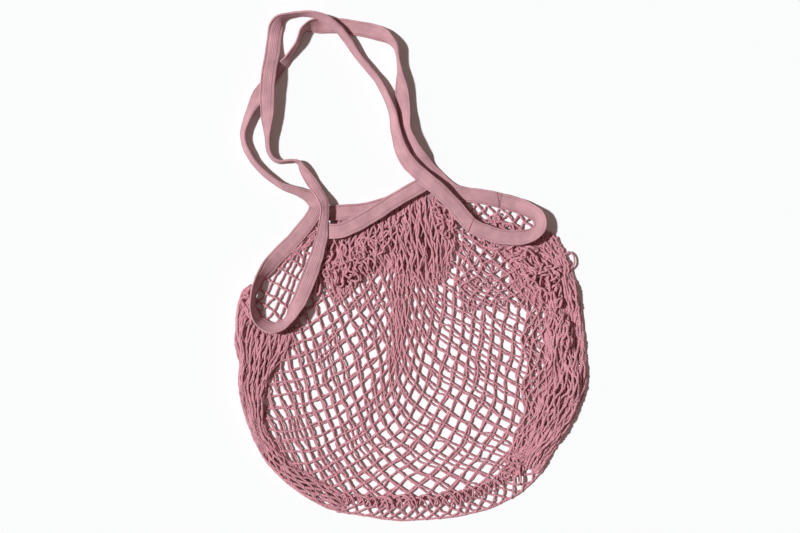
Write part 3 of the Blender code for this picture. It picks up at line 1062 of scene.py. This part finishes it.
def tape_path(stations, closed):
    """Rows of x, y, base, lean and width at even steps along a tape."""
    rows = np.array([Station(*row) for row in stations], float)
    if closed:
        rows = rows[:-1]
        padded = np.vstack([rows[-1:], rows, rows[:2]])
        count = len(rows)
    else:
        padded = np.vstack([rows[:1], rows, rows[-1:]])
        count = len(rows) - 1
    result = []
    for k in range(count):
        reach = math.dist(padded[k + 1, :2], padded[k + 2, :2])
        steps = max(2, round(reach / TAPE_STEP))
        for step in range(steps):
            result.append(blend(*padded[k:k + 4], step / steps))
    if not closed:
        result.append(rows[-1])
    result = np.array(result)
    result[:, 2] = np.maximum(result[:, 2], TAPE_FLOOR)
    return result


def tape_frames(stations, closed):
    """Centres, and the directions across and through a tape, along its run."""
    rows = tape_path(stations, closed)
    angle = np.radians(rows[:, 3])
    width = rows[:, 4]
    rise = (
        np.abs(np.sin(angle)) * width * TAPE_WIDTH / 2
        + np.abs(np.cos(angle)) * TAPE_THICKNESS / 2
    )
    centres = np.column_stack([rows[:, :2], rows[:, 2] + rise])
    if closed:
        run = np.roll(centres, -1, axis=0) - np.roll(centres, 1, axis=0)
    else:
        run = np.gradient(centres, axis=0)
    level = run[:, :2] / np.linalg.norm(run[:, :2], axis=1)[:, None]
    right = np.column_stack([level[:, 1], -level[:, 0], np.zeros(len(level))])
    up = np.array([0.0, 0.0, 1.0])
    across = right * np.cos(angle)[:, None] + up * np.sin(angle)[:, None]
    through = np.cross(across, np.column_stack([level, np.zeros(len(level))]))
    return centres, across * width[:, None], through


def tape_profile():
    """The folded tape's section: across and through, with stitched grooves."""
    half = TAPE_WIDTH / 2
    groove = half - STITCH_INSET
    side = [
        (-half, 0.0), (-half + 0.35, 0.62), (-half + 1.2, 0.95), (-groove - 0.7, 1.0),
        (-groove, 0.52), (-groove + 0.8, 0.94), (-half * 0.35, 0.92), (0.0, 0.86),
        (half * 0.35, 0.92), (groove - 0.8, 0.96), (groove, 0.62), (groove + 0.7, 1.0),
        (half - 0.8, 0.86), (half - 0.2, 0.5),
        (half, 0.0),
    ]
    upper = [(a, t * TAPE_THICKNESS / 2) for a, t in side]
    lower = [(a, -t) for a, t in upper[-2:0:-1]]
    return np.array(upper + lower)


def make_tape(name, stations, closed, material):
    """A folded tape swept along its stations."""
    centres, across, through = tape_frames(stations, closed)
    profile = tape_profile()
    count, ring = len(centres), len(profile)
    steps = np.linalg.norm(np.diff(centres, axis=0), axis=1)
    run = np.concatenate([[0.0], np.cumsum(steps)])
    points = (
        centres[:, None, :] + across[:, None, :] * profile[None, :, :1]
        + through[:, None, :] * profile[None, :, 1:]
    )
    points = points.reshape(-1, 3)
    points = points + stray(points, *CLOTH_WAVES) + stray(points, *CLOTH_RIPPLES)
    points[:, 2] = np.maximum(points[:, 2], TAPE_FLOOR)
    faces = []
    for k in range(count if closed else count - 1):
        here, there = k * ring, (k + 1) % count * ring
        for a in range(ring):
            b = (a + 1) % ring
            faces.append((here + a, here + b, there + b, there + a))
    if not closed:
        faces.append(tuple(range(ring - 1, -1, -1)))
        faces.append(tuple(range((count - 1) * ring, count * ring)))
    mesh = bpy.data.meshes.new(name)
    mesh.from_pydata((points * MM).tolist(), [], faces)
    for label, values in (
        ("tape_run", np.repeat(run, ring)),
        ("tape_across", np.tile(profile[:, 0], count)),
    ):
        kept = mesh.attributes.new(label, "FLOAT", "POINT")
        kept.data.foreach_set("value", (values * MM).astype(np.float32))
    mesh.materials.append(material)
    mesh.shade_smooth()
    return add_object(name, mesh)


def sew(name, lines, tree, material, closer=1.0):
    """Stitches of thread along lines, set closer by a factor."""
    return run_tree(add_lines(name, lines), tree, {
        "Spacing": STITCH_SPACING * closer * MM,
        "Half stitch": STITCH_LENGTH * MM / 2,
        "Thread radius": STITCH_RADIUS * MM,
        "Material": material,
    })


def make_stitches(name, stations, closed, tree, material):
    """The rows of stitches that hold a tape's folded edge, on both faces."""
    centres, across, through = tape_frames(stations, closed)
    lines = []
    for face in (1, -1):
        inset = across * -(TAPE_WIDTH / 2 - STITCH_INSET)
        lift = through * face * (TAPE_THICKNESS / 2 * 0.72)
        line = centres + inset + lift
        line += stray(line, *CLOTH_WAVES)
        line[:, 2] = np.maximum(line[:, 2], STITCH_RADIUS + FLOOR_GAP)
        lines.append(np.vstack([line, line[:1]]) if closed else line)
    return sew(name, lines, tree, material)


def make_cross_seams(tree, material):
    """The sewn lines across the tapes."""
    lines = [np.linspace(start, end, 12) for start, end in CROSS_SEAMS]
    return sew("cross_seams", lines, tree, material, 0.6)


# Surface, light and camera

def make_floor():
    """A plain matt white surface under the bag."""
    corners = [
        (x * FLOOR_REACH, y * FLOOR_REACH, 0) for x, y in ((-1, -1), (1, -1), (1, 1), (-1, 1))
    ]
    mesh = bpy.data.meshes.new("surface")
    mesh.from_pydata(corners, [], [(0, 1, 2, 3)])
    mesh.materials.append(cloth_material("surface_white", FLOOR_WHITE, 0.9, 0.0)[0])
    floor = add_object("surface", mesh)


def make_light():
    """A low clear light from the left and a weak warm fill."""
    lamp = bpy.data.lights.new("key", "SUN")
    lamp.energy = SUN_STRENGTH
    lamp.color = SUN_COLOR
    lamp.angle = math.radians(SUN_WIDTH)
    elevation = math.radians(SUN_ELEVATION)
    level = [math.cos(elevation) * part for part in SUN_HEADING]
    travel = Vector((*level, -math.sin(elevation)))
    add_object("key", lamp).rotation_euler = travel.to_track_quat("-Z", "Y").to_euler()
    world = bpy.data.worlds.new("fill")
    world.use_nodes = True
    set_inputs(
        world.node_tree.nodes["Background"],
        {"Color": FILL_COLOR, "Strength": FILL_STRENGTH})
    bpy.context.scene.world = world
    bpy.context.scene.view_settings.view_transform = "Standard"


def make_camera():
    """Straight down from above, a little to the left of the bag's middle."""
    lens = bpy.data.cameras.new("overhead")
    lens.sensor_width = 36.0
    lens.lens = 85.0
    lens.clip_end = 20.0
    camera = add_object("overhead", lens)
    camera.location = CAMERA_PLACE
    bpy.context.scene.camera = camera


def main():
    """Build the bag, and the surface, light and camera around it."""
    make_camera()
    make_light()
    make_floor()
    yarn = yarn_material()
    tape = tape_material()
    thread = thread_material()
    yarn_nodes = yarn_tree()
    stitch_nodes = stitch_tree()

    back = make_body(BACK, RIM + BACK_MOUTH, yarn_nodes, yarn)
    front = make_body(FRONT, RIM + FRONT_MOUTH, yarn_nodes, yarn)
    heaped = [make_patch(patch, yarn_nodes, yarn) for patch in PATCHES]
    heaped += [make_tangle(tangle, yarn_nodes, yarn) for tangle in TANGLES]
    heaped.append(make_seam(yarn_nodes, yarn))
    heaped.append(make_loose_loop(yarn_nodes, yarn))
    net = [back, front] + heaped
    for piece in net:
        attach(piece, "root")
    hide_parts("net_back")
    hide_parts("net_front")

    for node, stations, closed, length in (
        ("mouth_tape_front", MOUTH_TAPE_FRONT, False, 0.122),
        ("mouth_tape_back", MOUTH_TAPE_BACK, False, 0.139),
        ("handle_tape", HANDLE_TAPE, True, 1.72),
    ):
        short = node.replace("tape", "cloth")
        cloth = make_tape(short, stations, closed, tape)
        sewn = [make_stitches(node + "_stitches", stations, closed, stitch_nodes, thread)]
        if closed:
            sewn.append(make_cross_seams(stitch_nodes, thread))
        for piece in (cloth, *sewn):
            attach(piece, "root")
        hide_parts(node)


main()
